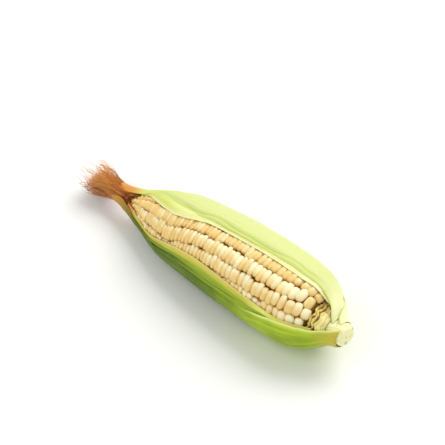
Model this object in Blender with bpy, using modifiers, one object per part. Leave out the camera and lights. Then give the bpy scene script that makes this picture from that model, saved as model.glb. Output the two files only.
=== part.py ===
"""An ear of white corn, as picked, with its husk opened on one side.

The ear lies on its back on the plane z = 0. The long axis runs along X, from the silk at -X to the cut
stalk at +X. The husk is open on top, and the opening leans toward -Y, the near side.

Every leaf, the cob and the silk are laid out round one bent axis, in two coordinates: the station x along
the axis, and the angle round it. Angle 0 is the middle of the opening, and angles grow toward the far
side (+Y). Lengths are in metres and angles in degrees.
"""

import math

import bmesh
import bpy
import numpy as np

MM = 0.001

# The whole ear
OPENING_TILT = 41  # how far the middle of the opening leans from straight up toward -Y
AXIS_SIDE = -0.15 * MM  # the axis stands this far toward +Y, which centres the box
FLOOR = 0.0  # nothing is below the surface that the ear lies on

# Outlines along the axis, as pairs of a station and a value, both in millimetres
AXIS_HEIGHT = [
    (-133, 16.5),
    (-96, 17.3),
    (-72, 19),
    (-62, 21),
    (-46, 23.5),
    (-36, 24.3),
    (-28, 25.3),
    (-15, 26.8),
    (20, 29.4),
    (56, 31),
    (90, 31.7),
    (133, 31.3),
]
HUSK_RADIUS = [
    (-97, 7.6),
    (-90, 8.2),
    (-82, 9.9),
    (-73, 12.2),
    (-64, 15.4),
    (-55, 18.3),
    (-46, 21.4),
    (-37, 24),
    (-28, 26.2),
    (0, 29),
    (38, 31),
    (60, 31.1),
    (78, 30.8),
    (93, 29.2),
    (101, 26.9),
    (109.5, 22.4),
    (113, 19.8),
    (116.5, 17.1),
    (120.6, 13.5),
    (124.5, 11.3),
    (130, 9.7),
]
HOLLOW_RADIUS = [
    (-97, 5.9),
    (-86, 6.2),
    (-80, 6.9),
    (-74, 8.7),
    (-64, 12.1),
    (-46, 18),
    (-28, 21.2),
    (0, 23.4),
    (30, 24.8),
    (60, 25.5),
    (82, 25.2),
    (93, 24.6),
    (102, 22.9),
    (105, 21.6),
    (108.5, 18.8),
    (112, 16.6),
    (115, 15.4),
    (117.5, 13.6),
    (120, 10.6),
    (122, 9.6),
    (130, 8.7),
]
EAR_RADIUS = [
    (-82, 3.8),
    (-78, 5.6),
    (-72, 8.2),
    (-62, 12),
    (-46, 17),
    (-28, 20.2),
    (0, 22.4),
    (30, 23.8),
    (60, 24.5),
    (82, 24.3),
    (95, 23.5),
    (102, 21.7),
    (105.5, 19.8),
    (108, 17.4),
]
EAR_LIFT = [(-97, 0), (-60, 0.4), (-30, 1.8), (0, 2.6), (60, 3), (92, 2.2), (110, 0.2), (133, 0)]

# The cob with its kernels
EAR_TIP = -82.5 * MM
EAR_BUTT = 108 * MM
TIP_ROUNDING = 6 * MM
EAR_RINGS = 24
KERNEL_ROWS = 14
SEGMENTS_A_ROW = 4
ROW_GROOVE = 0.8 * MM
ROW_TWIST = [
    (-82, -50),
    (-22, -50),
    (-8, -40),
    (5, -31),
    (22, -25),
    (56, -20),
    (74, -17.5),
    (108, -9),
]
ROW_SPREAD = 14  # degrees by which the rows in the opening stand wider apart toward the tip
ROW_SPREAD_MIDDLE = -25
ROW_SPREAD_START = 20 * MM
ROW_SPREAD_FULL = -22 * MM

# The stalk
SHANK_PROFILE = [
    (108.5, 6.5),
    (112, 7.8),
    (118, 8.3),
    (125, 7.9),
    (130, 8.3),
    (132.3, 8),
    (133, 6.8),
]

SHANK_MIDDLE = 121 * MM
SHANK_SIDES = 24

# The silk
SILK_NECK = -83.2 * MM
SILK_END = -133 * MM
SILK_RADIUS = [
    (-133, 4),
    (-129, 10),
    (-120, 12.4),
    (-112, 12.4),
    (-104, 9),
    (-97, 6),
    (-90, 5.5),
    (-83, 3.8),
]
SILK_SEGMENTS = 28
SILK_RINGS = 14
SILK_LOCKS = 7
SILK_RAGGEDNESS = 0.16

# The husk leaves
LEAF_THICKNESS = 0.55 * MM
LIP_ROOM = 3.6 * MM  # depth of the leaves at the lips of the opening
LIP_ANGLE = 34  # the lips begin to leave the ear here
CHEEK_ANGLE = 80  # and the husk is at its full radius from here on
LEAF_STATIONS = 25  # along the whole husk, shared by all leaves so that their facets run side by side
LEAF_COLUMNS = 12

# The torn leaf stubs, round the butt of the cob
STUB_BASES = [114.5 * MM, 117.2 * MM, 119.9 * MM]
STUB_ROOT = 9.2 * MM  # radius where a stub leaves the stalk
STUB_RISE = 5.2 * MM
STUB_FLARE = 5.1 * MM
STUB_START = -78
STUB_END = 84
STUB_ROWS = 4
STUB_COLUMNS = 20
STUB_WAVES = 5
STUB_WAVE_HEIGHT = 0.7 * MM

# Colours
KERNEL_CREAM = (0.86, 0.68, 0.38)
SHANK_CREAM = (0.84, 0.82, 0.50)
SILK_BROWN = (0.36, 0.11, 0.03)
LEAF_GREEN = (0.33, 0.46, 0.04)
LEAF_DARK_GREEN = (0.17, 0.28, 0.03)
LEAF_OLIVE = (0.42, 0.42, 0.08)
LEAF_PALE = (0.82, 0.84, 0.38)
STUB_OLIVE = (0.40, 0.34, 0.08)


def smooth_curve(points, unit=MM):
    """A function of the station that passes through the points and doesn't overshoot between them.

    The points are pairs of a station in millimetres and a value in the given unit."""
    stations, values = np.array(points, float).T
    stations, values = stations * MM, values * unit
    steps = np.diff(stations)
    slopes = np.diff(values) / steps
    tangents = np.concatenate([slopes[:1], np.zeros(len(slopes) - 1), slopes[-1:]])
    product = slopes[:-1] * slopes[1:]
    turning = product <= 0
    total = np.where(turning, 1, slopes[:-1] + slopes[1:])
    tangents[1:-1] = np.where(turning, 0, 2 * product / total)

    def value(station):
        station = min(max(station, stations[0]), stations[-1])
        i = min(int(np.searchsorted(stations, station, side="right")) - 1, len(steps) - 1)
        t = (station - stations[i]) / steps[i]
        rise = t * t * (3 - 2 * t)
        leave = t * (1 - t) ** 2 * steps[i] * tangents[i]
        arrive = t * t * (t - 1) * steps[i] * tangents[i + 1]
        return float(values[i] + rise * (values[i + 1] - values[i]) + leave + arrive)

    return value


def ramp(value, start, end):
    """0 up to start, 1 from end on, and smooth between them."""
    t = min(max((value - start) / (end - start), 0), 1)
    return t * t * (3 - 2 * t)


axis_height = smooth_curve(AXIS_HEIGHT)
husk_radius = smooth_curve(HUSK_RADIUS)
hollow_radius = smooth_curve(HOLLOW_RADIUS)
ear_radius = smooth_curve(EAR_RADIUS)
ear_lift = smooth_curve(EAR_LIFT)
row_twist = smooth_curve(ROW_TWIST, unit=1)
silk_radius = smooth_curve(SILK_RADIUS)


def around_axis(x, angle, radius, lift=0.0):
    """The point at this station, angle and radius. lift moves its centre toward the opening."""
    turn = math.radians(OPENING_TILT - angle)
    lean = math.radians(OPENING_TILT)
    y = AXIS_SIDE - radius * math.sin(turn) - lift * math.sin(lean)
    z = axis_height(x) + radius * math.cos(turn) + lift * math.cos(lean)
    return x, y, max(z, FLOOR)


def hollow(x, angle):
    """Distance from the husk's axis to the hollow that the cob lies in. The cob sits nearer the opening."""
    lift, radius = ear_lift(x), hollow_radius(x)
    turn = math.radians(angle)
    return lift * math.cos(turn) + math.sqrt(radius**2 - (lift * math.sin(turn)) ** 2)


def husk(x, angle):
    """Distance from the husk's axis to its outside. Toward the opening it draws in to the cob."""
    inner, outer = hollow(x, angle), husk_radius(x)
    around = min(angle % 360, -angle % 360)
    lips = min(inner + LIP_ROOM, outer)
    return lips + (outer - lips) * ramp(around, LIP_ANGLE, CHEEK_ANGLE)


def row_angle(x, turn):
    """The angle at the station x of a row that starts at the angle turn.

    All rows drift round the ear by row_twist. Toward the tip those in the opening stand wider apart, and
    those at the back closer."""
    angle = turn + row_twist(x)
    spread = ROW_SPREAD * (1 - ramp(x, ROW_SPREAD_FULL, ROW_SPREAD_START))
    return angle + spread * math.sin(math.radians(angle - ROW_SPREAD_MIDDLE))


def material(name, colour, roughness):
    made = bpy.data.materials.new(name)
    made.use_nodes = True
    shader = made.node_tree.nodes["Principled BSDF"]
    shader.inputs["Base Color"].default_value = (*colour, 1)
    shader.inputs["Roughness"].default_value = roughness
    made.diffuse_color = (*colour, 1)
    return made


def add_object(name, mesh_builder, finish):
    """Links a smooth-shaded object of the mesh that mesh_builder holds."""
    mesh = bpy.data.meshes.new(name)
    mesh_builder.to_mesh(mesh)
    mesh_builder.free()
    mesh.shade_smooth()
    mesh.materials.append(finish)
    made = bpy.data.objects.new(name, mesh)
    bpy.data.collections["corn_cob"].objects.link(made)
    return made


def add_spun_body(name, segments, rings, start, end, surface, finish):
    """A closed body round the axis: a sphere whose poles go to the start and end stations.

    surface(x, angle) gives the point there."""
    builder = bmesh.new()
    bmesh.ops.create_uvsphere(builder, u_segments=segments, v_segments=rings, radius=1)
    for vertex in builder.verts:
        x = start + (end - start) * (1 + vertex.co.z) / 2
        angle = OPENING_TILT + 90 - math.degrees(math.atan2(vertex.co.y, vertex.co.x))
        at_pole = abs(vertex.co.z) > 0.9999
        vertex.co = surface(x, angle, at_pole)
    return add_object(name, builder, finish)


def add_sheet(name, surface, rows, columns, finish):
    """A thin leaf: a grid bent onto surface(along, across), both from 0 to 1, and thickened inward."""
    builder = bmesh.new()
    bmesh.ops.create_grid(builder, x_segments=rows, y_segments=columns, size=0.5)
    for vertex in builder.verts:
        vertex.co = surface(vertex.co.x + 0.5, vertex.co.y + 0.5)
    made = add_object(name, builder, finish)
    solid = made.modifiers.new("Thickness", "SOLIDIFY")
    solid.thickness = LEAF_THICKNESS
    solid.offset = -1
    return made


def add_kernel_ear():
    """The cob with its kernels, as one body whose grooves are the gaps between the rows of kernels."""

    def surface(x, angle, at_pole):
        if at_pole:
            return around_axis(x, angle, 0, ear_lift(x))
        groove = ROW_GROOVE * (1 - math.cos(math.radians(KERNEL_ROWS * angle))) / 2
        end_round = math.sqrt(ramp(x, EAR_TIP, EAR_TIP + TIP_ROUNDING))
        radius = (ear_radius(x) - groove) * end_round
        return around_axis(x, row_angle(x, angle), radius, ear_lift(x))

    finish = material("kernels", KERNEL_CREAM, 0.35)
    around = SEGMENTS_A_ROW * KERNEL_ROWS
    return add_spun_body("kernel_ear", around, EAR_RINGS, EAR_TIP, EAR_BUTT, surface, finish)


def add_shank():
    """The cut stalk: its profile, closed at both ends on the axis, turned round it."""
    builder = bmesh.new()
    cut_end, butt_end = SHANK_PROFILE[-1][0], SHANK_PROFILE[0][0]
    outline = [(cut_end, 0), *reversed(SHANK_PROFILE), (butt_end, 0)]
    points = [builder.verts.new((radius * MM, 0, x * MM)) for x, radius in outline]
    for a, b in zip(points, points[1:]):
        builder.edges.new((a, b))
    made = add_object("shank", builder, material("shank", SHANK_CREAM, 0.6))
    turned = made.modifiers.new("Turned", "SCREW")
    turned.steps = turned.render_steps = SHANK_SIDES
    turned.use_merge_vertices = True
    turned.merge_threshold = 0.1 * MM
    turned.use_normal_calculate = True
    made.location = (0, AXIS_SIDE, axis_height(SHANK_MIDDLE))
    made.rotation_euler = (0, math.pi / 2, 0)
    return made


def add_silk_tuft():
    """The dried silk: a bundle that leaves the tip of the cob and fans out in locks."""

    def surface(x, angle, at_pole):
        fan = ramp(-x, -SILK_NECK, -SILK_END)
        locks = 1 + SILK_RAGGEDNESS * fan * math.cos(math.radians(SILK_LOCKS * angle))
        radius = 0 if at_pole else silk_radius(x) * locks
        return around_axis(x, angle, radius)

    finish = material("silk", SILK_BROWN, 0.7)
    return add_spun_body("silk_tuft", SILK_SEGMENTS, SILK_RINGS, SILK_END, SILK_NECK, surface, finish)


def leaf_stations(tip, base):
    """The stations of a leaf's rows: its tip, the shared ones inside it, and its base.

    The shared ones are closer together toward both ends of the husk, where it curves most."""
    first, last = HUSK_RADIUS[0][0] * MM, HUSK_RADIUS[-1][0] * MM
    shares = (1 - np.cos(np.linspace(0, math.pi, LEAF_STATIONS))) / 2
    inside = [x for x in first + (last - first) * shares if tip + MM < x < base - MM]
    return [tip, *inside, base]


def add_leaf(name, colour, tip, base, closing, depth, edges):
    """A husk leaf, from its tip to its base on the stalk, both stations in millimetres.

    depth(angle) says how deep it lies, from 0 at the cob to 1 at the husk's outside. edges is the pair of
    its edges' angles along the axis, lower one first. Over the length closing, the leaf draws in to the
    stalk."""
    lower, upper = (smooth_curve(edge, unit=1) for edge in edges)

    stations = leaf_stations(tip * MM, base * MM)
    rows = len(stations) - 1

    def surface(along, across):
        x = stations[round(along * rows)]
        angle = lower(x) + (upper(x) - lower(x)) * across
        inner = hollow(x, angle) + LEAF_THICKNESS
        open_out = math.sin(math.pi / 2 * min((base * MM - x) / (closing * MM), 1))
        return around_axis(x, angle, inner + (husk(x, angle) - inner) * depth(angle) * open_out)

    return add_sheet(name, surface, rows, LEAF_COLUMNS, material(name, colour, 0.5))


def add_near_leaves():
    """The three leaves on the near side. The outer one wraps the underside."""
    add_leaf(
        "husk_near_inner",
        LEAF_OLIVE,
        tip=-78,
        base=114,
        closing=11,
        depth=lambda angle: 0.2,
        edges=(
            [(-78, -70), (-66, -96), (-40, -112), (-10, -130), (120, -130)],
            [
                (-78, -24), (-70, -33), (-60, -50), (-48, -56), (-39, -53), (-28, -45), (-2, -33),
                (16, -30), (53, -34), (85, -37), (99, -36), (112, -33), (120, -24),
            ],
        ),
    )
    add_leaf(
        "husk_near_middle",
        LEAF_DARK_GREEN,
        tip=-50,
        base=125,
        closing=10,
        depth=lambda angle: 0.6,
        edges=(
            [(-50, -84), (-30, -120), (0, -140), (125, -140)],
            [
                (-50, -66), (-30, -54), (0, -43), (40, -43), (70, -44), (88, -42), (105, -39),
                (116, -34), (125, -16),
            ],
        ),
    )
    add_leaf(
        "husk_near_outer",
        LEAF_GREEN,
        tip=-97,
        base=130,
        closing=2,
        depth=lambda angle: 1,
        edges=(
            [(-97, -128), (-80, -180), (-60, -190), (130, -190)],
            [
                (-97, -30), (-85, -20), (-76, -34), (-62, -58), (-46, -62), (-28, -59), (0, -53),
                (40, -54), (60, -54), (76, -47), (88, -41), (101, -37), (113, -35), (118, -30),
                (123, -19), (127, -5), (130, 10),
            ],
        ),
    )


def add_far_leaves():
    """The leaves on the far side. The pale one bulges out where no outer leaf holds it."""
    add_leaf(
        "husk_far_lip",
        LEAF_OLIVE,
        tip=-72,
        base=114,
        closing=14,
        depth=lambda angle: 0.15,
        edges=(
            [
                (-72, 42), (-62, 39), (-52, 27), (-44, 20), (-24, 13), (-15, 15), (-5, 21),
                (12, 29), (37, 31), (54, 33), (92, 36), (105, 42), (115, 47), (118, 47),
            ],
            [(-72, 60), (-64, 70), (-40, 88), (0, 96), (50, 98), (118, 98)],
        ),
    )
    add_leaf(
        "husk_far_inner",
        LEAF_PALE,
        tip=-96,
        base=122.5,
        closing=18,
        depth=lambda angle: 1 - 0.72 * ramp(angle, 95, 118),
        edges=(
            [
                (-96, 24), (-84, 30), (-74, 42), (-64, 52), (-57, 52), (-47, 42), (-24, 31),
                (-5, 30), (12, 34), (37, 36), (54, 38), (92, 42), (105, 48), (112, 49), (116, 44),
                (119, 31), (122.5, 8),
            ],
            [(-96, 86), (-80, 130), (-62, 190), (-40, 212), (122, 212)],
        ),
    )
    add_leaf(
        "husk_far_outer",
        LEAF_GREEN,
        tip=-84,
        base=127.5,
        closing=7,
        depth=lambda angle: 1 - 0.4 * ramp(angle, 150, 175),
        edges=(
            [
                (-84, 138), (-62, 122), (-40, 116), (106, 114), (116, 100), (121, 66), (124, 42),
                (127.5, 30),
            ],
            [(-84, 156), (-66, 166), (-50, 166), (-30, 206), (0, 214), (127, 214)],
        ),
    )


def add_torn_leaf_stubs():
    """Cups of torn leaf bases, one inside the next, whose edges are crumpled in waves."""
    finish = material("torn_leaf_stub", STUB_OLIVE, 0.6)
    for number, base in enumerate(STUB_BASES, 1):

        def surface(along, across, base=base, number=number):
            angle = STUB_START + (STUB_END - STUB_START) * across
            wave = math.sin(2 * math.pi * STUB_WAVES * across + number)
            rise = 1 - along
            x = base - rise * (STUB_RISE + STUB_WAVE_HEIGHT * wave)
            return around_axis(x, angle, STUB_ROOT + STUB_FLARE * math.sin(math.pi / 2 * rise))

        add_sheet(f"torn_leaf_stub_{number}", surface, STUB_ROWS, STUB_COLUMNS, finish)


def main():
    for old in list(bpy.data.objects):
        bpy.data.objects.remove(old, do_unlink=True)
    collection = bpy.data.collections.new("corn_cob")
    bpy.context.scene.collection.children.link(collection)
    add_kernel_ear()
    add_shank()
    add_silk_tuft()
    add_near_leaves()
    add_far_leaves()
    add_torn_leaf_stubs()


main()
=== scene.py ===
"""The looks of an ear of white corn in its opened husk, laid out as a Blender add-on and run as a script.

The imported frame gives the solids. Each piece here is a surface worked out with numpy round the same bent
axis as the solids: a station x along the ear, an angle round it whose 0 is the middle of the husk's
opening and which grows toward +Y, and a distance from the axis. Lengths are in metres.
"""

import math
from dataclasses import dataclass

import bpy
import numpy as np
from bpy.props import FloatProperty, FloatVectorProperty, IntProperty, PointerProperty
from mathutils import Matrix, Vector


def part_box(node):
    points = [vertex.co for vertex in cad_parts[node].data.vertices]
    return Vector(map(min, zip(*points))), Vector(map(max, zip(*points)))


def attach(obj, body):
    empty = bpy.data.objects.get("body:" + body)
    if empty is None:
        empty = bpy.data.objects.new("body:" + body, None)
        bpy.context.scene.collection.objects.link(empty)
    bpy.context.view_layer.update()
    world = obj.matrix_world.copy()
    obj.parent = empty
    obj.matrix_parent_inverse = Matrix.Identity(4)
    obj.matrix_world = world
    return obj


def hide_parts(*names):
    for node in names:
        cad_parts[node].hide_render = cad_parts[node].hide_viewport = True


bl_info = {
    "name": "Ear of Corn",
    "version": (1, 0, 0),
    "blender": (4, 5, 0),
    "location": "View3D > Sidebar > Corn",
    "description": "Builds the kernels, husk leaves, silk and stalk of an ear of corn round its frame",
    "category": "Add Mesh",
}

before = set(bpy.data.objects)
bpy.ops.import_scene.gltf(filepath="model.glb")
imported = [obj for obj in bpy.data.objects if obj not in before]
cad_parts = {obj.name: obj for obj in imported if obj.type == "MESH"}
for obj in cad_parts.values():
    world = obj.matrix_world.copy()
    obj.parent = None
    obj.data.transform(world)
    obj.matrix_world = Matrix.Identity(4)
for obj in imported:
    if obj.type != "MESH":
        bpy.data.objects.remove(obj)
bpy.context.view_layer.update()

MM = 0.001
TURN = 2 * math.pi

# Angles are in degrees, unless a name or a formula says otherwise
OPENING_TILT = 41
AXIS_SIDE = -0.15 * MM
ROW_SPREAD = 14
ROW_SPREAD_MIDDLE = -25
ROW_SPREAD_START = 20 * MM
ROW_SPREAD_FULL = -22 * MM
KERNEL_ROUNDING = 3.4
KERNEL_RING_SIZES = [0, 0.52, 0.91, 1]
KERNEL_RING_HEIGHTS = [1, 0.86, 0.36, -1]

EAR_TIP, EAR_BUTT = (corner.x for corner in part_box("kernel_ear"))
SILK_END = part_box("silk_tuft")[0].x
STALK_START, STALK_END = (corner.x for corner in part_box("shank"))
TIP_ROUNDING = 5 * MM
SILK_FRONT = math.radians(128)
STALK_COLLAR = 120 * MM

LEAF_THICKNESS = 0.55 * MM
LIP_ROOM = 3.6 * MM
LIP_ANGLE = 34
CHEEK_ANGLE = 80


# ---- Shapes as arrays ----


def smooth_curve(points, unit=MM):
    """A function of stations that passes through the points and doesn't overshoot between them.

    Between two points it is a cubic whose slope at each point is the harmonic mean of the slopes of the
    chords on both sides, or 0 where they differ in sign."""
    stations, values = np.array(points, float).T
    stations, values = stations * MM, values * unit
    steps = np.diff(stations)
    slopes = np.diff(values) / steps
    tangents = np.concatenate([slopes[:1], np.zeros(len(slopes) - 1), slopes[-1:]])
    product = slopes[:-1] * slopes[1:]
    turning = product <= 0
    total = np.where(turning, 1, slopes[:-1] + slopes[1:])
    tangents[1:-1] = np.where(turning, 0, 2 * product / total)

    def value(station):
        station = np.clip(station, stations[0], stations[-1])
        i = np.minimum(np.searchsorted(stations, station, side="right") - 1, len(steps) - 1)
        t = (station - stations[i]) / steps[i]
        rise = t * t * (3 - 2 * t)
        leave = t * (1 - t) ** 2 * steps[i] * tangents[i]
        arrive = t * t * (t - 1) * steps[i] * tangents[i + 1]
        return values[i] + rise * (values[i + 1] - values[i]) + leave + arrive

    return value


def ramp(value, start, end):
    """0 up to start, 1 from end on, and smooth between them."""
    t = np.clip((value - start) / (end - start), 0, 1)
    return t * t * (3 - 2 * t)


# The layout round the axis: pairs of a station and a value, both in millimetres, or degrees for row_twist
axis_height = smooth_curve([
    (-133, 16.5), (-96, 17.3), (-72, 19), (-62, 21), (-46, 23.5), (-36, 24.3), (-28, 25.3), (-15, 26.8),
    (20, 29.4), (56, 31), (90, 31.7), (133, 31.3),
])
husk_radius = smooth_curve([
    (-97, 7.6), (-90, 8.2), (-82, 9.9), (-73, 12.2), (-64, 15.4), (-55, 18.3), (-46, 21.4), (-37, 24),
    (-28, 26.2), (0, 29), (38, 31), (60, 31.1), (78, 30.8), (93, 29.2), (101, 26.9), (109.5, 22.4),
    (113, 19.8), (116.5, 17.1), (120.6, 13.5), (124.5, 11.3), (130, 9.7),
])
hollow_radius = smooth_curve([
    (-97, 5.9), (-86, 6.2), (-80, 6.9), (-74, 8.7), (-64, 12.1), (-46, 18), (-28, 21.2), (0, 23.4),
    (30, 24.8), (60, 25.5), (82, 25.2), (93, 24.6), (102, 22.9), (105, 21.6), (108.5, 18.8), (112, 16.6),
    (115, 15.4), (117.5, 13.6), (120, 10.6), (122, 9.6), (130, 8.7),
])
ear_radius = smooth_curve([
    (-82, 3.8), (-78, 5.6), (-72, 8.2), (-62, 12), (-46, 17), (-28, 20.2), (0, 22.4), (30, 23.8),
    (60, 24.5), (82, 24.3), (95, 23.5), (102, 21.7), (105.5, 19.8), (108, 17.4),
])
ear_lift = smooth_curve([
    (-97, 0), (-60, 0.4), (-30, 1.8), (0, 2.6), (60, 3), (92, 2.2), (110, 0.2), (133, 0),
])
row_twist = smooth_curve([
    (-82, -50), (-22, -50), (-8, -40), (5, -31), (22, -25), (56, -20), (74, -17.5), (108, -9),
], unit=1)
kernel_pitch = smooth_curve([
    (-82, 3.3), (-15, 3.4), (25, 3.65), (40, 3.9), (70, 4.3), (93, 5), (109.5, 5.4),
])
shank_profile = smooth_curve([
    (108.5, 6.5), (112, 7.8), (118, 8.3), (125, 7.9), (130, 8.3), (132.3, 8), (133, 6.8),
])
silk_spread = smooth_curve([
    (-133, 14.5), (-118, 14), (-109, 10.8), (-101, 8.4), (-93, 7.3), (-86, 6.8), (-80, 7.3), (-74, 8.6),
])


def around_axis(x, angle, radius, lift=0.0):
    """Points at the stations, angles in degrees and distances from the axis, none below the floor.

    lift moves a section's centre toward the middle of the opening."""
    turn = np.radians(OPENING_TILT - np.asarray(angle))
    lean = math.radians(OPENING_TILT)
    y = AXIS_SIDE - radius * np.sin(turn) - lift * math.sin(lean)
    z = axis_height(x) + radius * np.cos(turn) + lift * math.cos(lean)
    return np.stack(np.broadcast_arrays(x, y, np.maximum(z, 0)), axis=-1)


def hollow(x, angle):
    """Distance from the husk's axis to the round hollow that the cob lies in, off centre by ear_lift."""
    lift, turn = ear_lift(x), np.radians(angle)
    return lift * np.cos(turn) + np.sqrt(hollow_radius(x) ** 2 - (lift * np.sin(turn)) ** 2)


def husk(x, angle):
    """Distance from the husk's axis to its outside: its full radius, drawn in to the cob at the lips."""
    inner, outer = hollow(x, angle), husk_radius(x)
    around = np.minimum(angle % 360, -angle % 360)
    lips = np.minimum(inner + LIP_ROOM, outer)
    return lips + (outer - lips) * ramp(around, LIP_ANGLE, CHEEK_ANGLE)


def row_angle(x, turn):
    """The angle at the station x of a row that is turned this much, in degrees.

    All rows drift round the ear by row_twist. Toward the tip those in the opening also stand wider apart,
    and those at the back closer, by a sine of the angle from ROW_SPREAD_MIDDLE."""
    angle = turn + row_twist(x)
    spread = ROW_SPREAD * (1 - ramp(x, ROW_SPREAD_FULL, ROW_SPREAD_START))
    return angle + spread * np.sin(np.radians(angle - ROW_SPREAD_MIDDLE))


def ripples(u, v, seed):
    """Smooth noise from -1 to 1: a mean of sine waves whose directions and phases come from the seed."""
    random = np.random.default_rng(seed)
    total, waves = 0, 7
    for _ in range(waves):
        across, along = random.normal(size=2)
        total = total + np.sin(TURN * (across * u + along * v + random.random()))
    return total / waves


def grid_faces(rows, columns, closed=False):
    """Quads of a grid whose points run row by row. A closed grid joins its last column to its first."""
    index = np.arange(rows * columns).reshape(rows, columns)
    if closed:
        index = np.hstack([index, index[:, :1]])
    corners = [index[:-1, :-1], index[1:, :-1], index[1:, 1:], index[:-1, 1:]]
    return np.stack(corners, axis=-1).reshape(-1, 4)


def grid_rim(rows, columns):
    """Numbers of the points along the four edges of a grid, once round it."""
    index = np.arange(rows * columns).reshape(rows, columns)
    return np.concatenate([index[:-1, 0], index[-1, :-1], index[:0:-1, -1], index[0, :0:-1]])


def shell(outer, inner):
    """Points and faces of a thin closed sheet between two grids of points, joined along the four edges."""
    rows, columns = outer.shape[:2]
    count = rows * columns
    top, rim = grid_faces(rows, columns), grid_rim(rows, columns)
    after = np.roll(rim, -1)
    sides = np.stack([rim, rim + count, after + count, after], axis=-1)
    points = np.concatenate([outer.reshape(-1, 3), inner.reshape(-1, 3)])
    return points, [top, top[:, ::-1] + count, sides]


def sheet(x, angle, radius, thickness, across, along, attributes):
    """Points, faces, attributes and uv of a thin closed sheet round the axis, given as grids.

    Its outside is at the radius, and its inside is one thickness deeper, with the same attributes and with
    the uv, across and along, of the point above it."""
    points, faces = shell(around_axis(x, angle, radius), around_axis(x, angle, radius - thickness))
    attributes = {key: np.tile(values.ravel(), 2) for key, values in attributes.items()}
    return points, faces, attributes, np.tile(np.stack([across, along], axis=-1).reshape(-1, 2), (2, 1))


def add_piece(name, points, faces, finish, nodes, attributes=None, uv=None):
    """Makes a smooth piece of the arrays, which rides on the root and stands for the CAD nodes.

    attributes are numbers at the points by name. uv is a pair of numbers at each point."""
    loops = np.concatenate([part.ravel() for part in faces]).astype(np.int32)
    sizes = np.concatenate([np.full(len(part), part.shape[1]) for part in faces])
    starts = np.concatenate([[0], np.cumsum(sizes)[:-1]]).astype(np.int32)
    mesh = bpy.data.meshes.new(name)
    mesh.vertices.add(len(points))
    mesh.vertices.foreach_set("co", np.asarray(points, np.float32).ravel())
    mesh.loops.add(len(loops))
    mesh.loops.foreach_set("vertex_index", loops)
    mesh.polygons.add(len(sizes))
    mesh.polygons.foreach_set("loop_start", starts)
    mesh.update(calc_edges=True)
    for key, values in (attributes or {}).items():
        made = mesh.attributes.new(key, "FLOAT", "POINT")
        made.data.foreach_set("value", np.broadcast_to(values, len(points)).astype(np.float32))
    if uv is not None:
        layer = mesh.uv_layers.new(name="Along")
        layer.data.foreach_set("uv", np.asarray(uv, np.float32)[loops].ravel())
    mesh.shade_smooth()
    mesh.materials.append(finish)
    piece = bpy.data.objects.new(name, mesh)
    bpy.context.scene.collection.objects.link(piece)
    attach(piece, "root")
    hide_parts(*nodes)


# ---- Finishes ----


def linear(red, green, blue):
    """A colour as shaders take it, from its values on a screen."""
    return tuple(((c + 0.055) / 1.055) ** 2.4 if c > 0.04045 else c / 12.92 for c in (red, green, blue))


def shade(value, *factors):
    """The colour with its red, green and blue multiplied."""
    return tuple(min(c * f, 1) for c, f in zip(value, factors))


class Socket:
    """An output of a finish's node. Arithmetic on it adds Math nodes to the finish."""

    def __init__(self, finish, output):
        self.finish = finish
        self.output = output

    def math(self, operation, *values):
        return self.finish.node("ShaderNodeMath", {"operation": operation}, dict(enumerate(values)))

    def __add__(self, other):
        return self.math("ADD", self, other)

    def __sub__(self, other):
        return self.math("SUBTRACT", self, other)

    def __rsub__(self, other):
        return self.math("SUBTRACT", other, self)

    def __mul__(self, other):
        return self.math("MULTIPLY", self, other)

    __radd__ = __add__
    __rmul__ = __mul__

    def range(self, low, high, start=0.0, end=1.0):
        """start up to low, end from high on, and smooth between them."""
        settings = {"interpolation_type": "SMOOTHSTEP"}
        inputs = {"Value": self, "From Min": low, "From Max": high, "To Min": start, "To Max": end}
        return self.finish.node("ShaderNodeMapRange", settings, inputs)


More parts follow.
